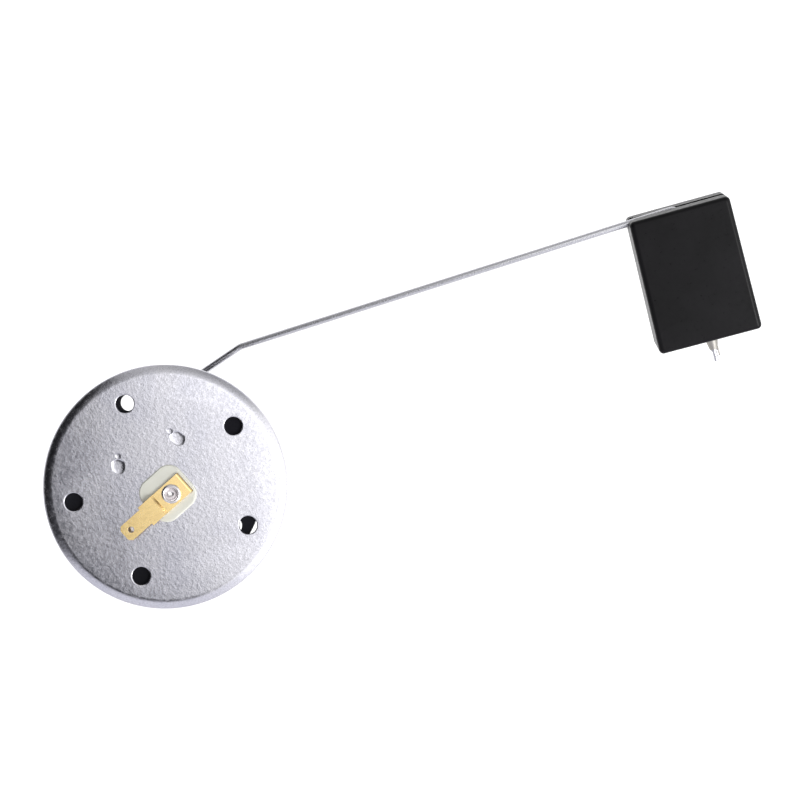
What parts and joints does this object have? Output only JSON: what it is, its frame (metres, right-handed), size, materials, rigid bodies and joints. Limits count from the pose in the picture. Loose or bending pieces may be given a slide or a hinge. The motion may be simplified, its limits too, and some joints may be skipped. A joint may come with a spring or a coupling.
{
  "type": "fuel sending unit",
  "caption": "Tank sender for a fuel gauge: pressed round flange with a spade terminal, a sponge gasket, and a float on a hinged wire arm that wipes a wound resistor.",
  "frame": {"origin": "on the flange's axis, in the gasket's lower sealing face", "axes": "+Z out of the tank along the flange's axis, +X towards the float, +Y towards the bolt hole that stands between the two equal steps"},
  "size_m": [0.2231, 0.0734, 0.0436],
  "materials": {
    "zinc_steel": "zinc-plated pressed steel, fine satin speckle",
    "sponge_rubber": "matte black closed-cell sponge rubber",
    "nylon_natural": "natural nylon, slightly translucent, satin",
    "brass_strip": "stamped brass, satin",
    "tinned_rivet": "tin-plated rivet, semi-bright",
    "bracket_steel": "zinc-plated folded steel, satin",
    "bush_brass": "turned brass, satin",
    "spring_steel": "bright spring steel",
    "moulded_tray": "moulded off-white acetal, satin",
    "rivet_aluminium": "aluminium rivet, satin",
    "card_laminate": "brown phenolic laminate, matte",
    "resistance_wire": "nickel-chrome wire, semi-bright",
    "copper_lead": "enamelled copper wire, gloss",
    "arm_wire": "zinc-plated drawn wire, bright satin",
    "leaf_bronze": "phosphor bronze leaf, satin",
    "contact_silver": "silver contact buttons, bright",
    "float_foam": "black moulded closed-cell nitrile foam with a satin skin",
    "cap_steel": "push-on steel cap, satin"
  },
  "bodies": {
    "flange_assembly": {"flange_cup": "zinc_steel", "flange_gasket": "sponge_rubber", "terminal_insulator": "nylon_natural", "inner_insulator": "nylon_natural", "spade_terminal": "brass_strip", "terminal_rivet": "tinned_rivet", "feed_strip": "brass_strip", "feed_rivet": "tinned_rivet", "sender_bracket": "bracket_steel", "pivot_bush": "bush_brass", "spring_washer": "spring_steel", "resistor_frame": "moulded_tray", "frame_rivets": "rivet_aluminium", "resistor_card": "card_laminate", "resistance_winding": "resistance_wire", "winding_lead": "copper_lead"},
    "float_lever": {"float_arm": "arm_wire", "retaining_clip": "spring_steel", "wiper_hub": "bush_brass", "wiper_arm": "leaf_bronze", "wiper_contacts": "contact_silver", "float": "float_foam", "float_retainer": "cap_steel"}
  },
  "joints": [
    {"name": "float_arm_pivot", "type": "hinge", "parent": "flange_assembly", "child": "float_lever", "pos_m": [0, 0.0162, -0.018], "axis": [0, 1, 0], "range_deg": [-3, 68]}
  ]
}
